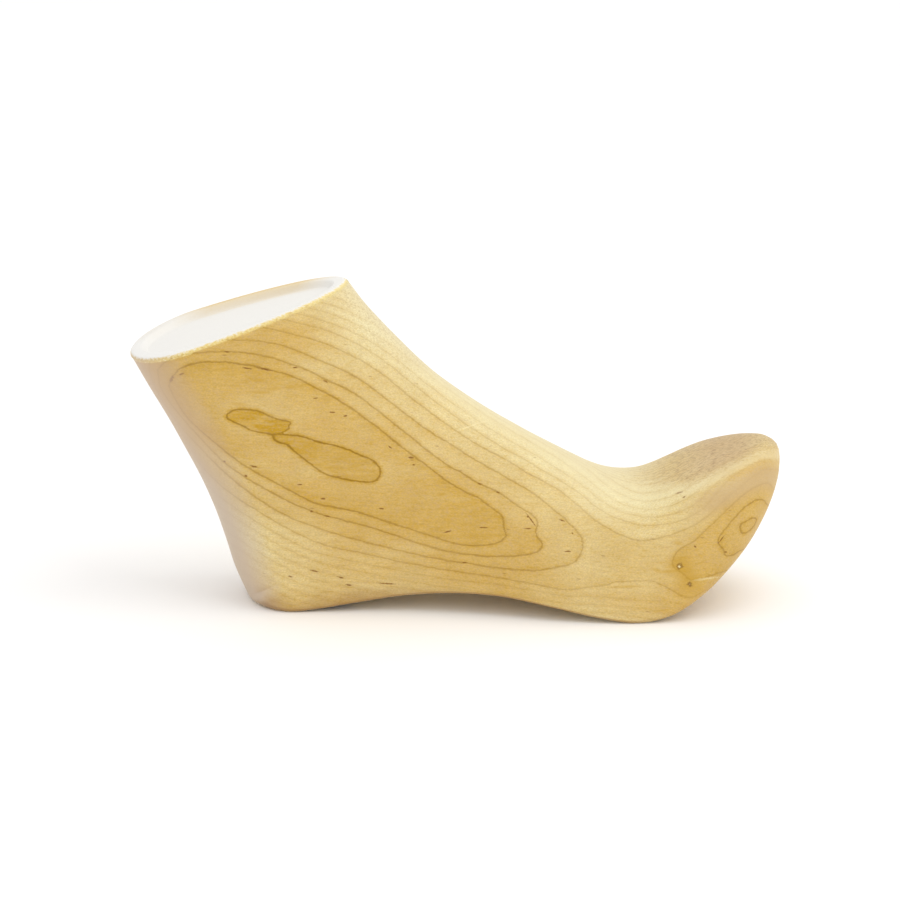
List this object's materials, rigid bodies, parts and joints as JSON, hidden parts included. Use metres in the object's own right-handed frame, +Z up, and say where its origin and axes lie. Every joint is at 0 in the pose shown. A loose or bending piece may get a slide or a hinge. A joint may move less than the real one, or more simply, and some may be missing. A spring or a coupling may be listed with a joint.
{
  "type": "cobbler last",
  "caption": "Carved maple foot form with an ankle-high cone and turned-up toe, over which a shoe is pulled, nailed and shaped; a steel plate in the heel seat clenches the tacks.",
  "frame": {"origin": "on the ground under the middle of the last's outline, which stands on its seat and on the ball of the foot", "axes": "+X from the heel to the toe, +Y towards the outer side of the foot, +Z up"},
  "size_m": [0.3224, 0.0946, 0.1643],
  "materials": {
    "maple": "sanded smooth, satin",
    "plate_steel": "rolled, dulled",
    "screw_steel": "turned, bright"
  },
  "bodies": {
    "root": {"last_block": "maple", "heel_plate": "plate_steel", "heel_plate_screw_1": "screw_steel", "heel_plate_screw_2": "screw_steel", "heel_plate_screw_3": "screw_steel", "heel_plate_screw_4": "screw_steel", "heel_plate_screw_5": "screw_steel"}
  },
  "joints": []
}
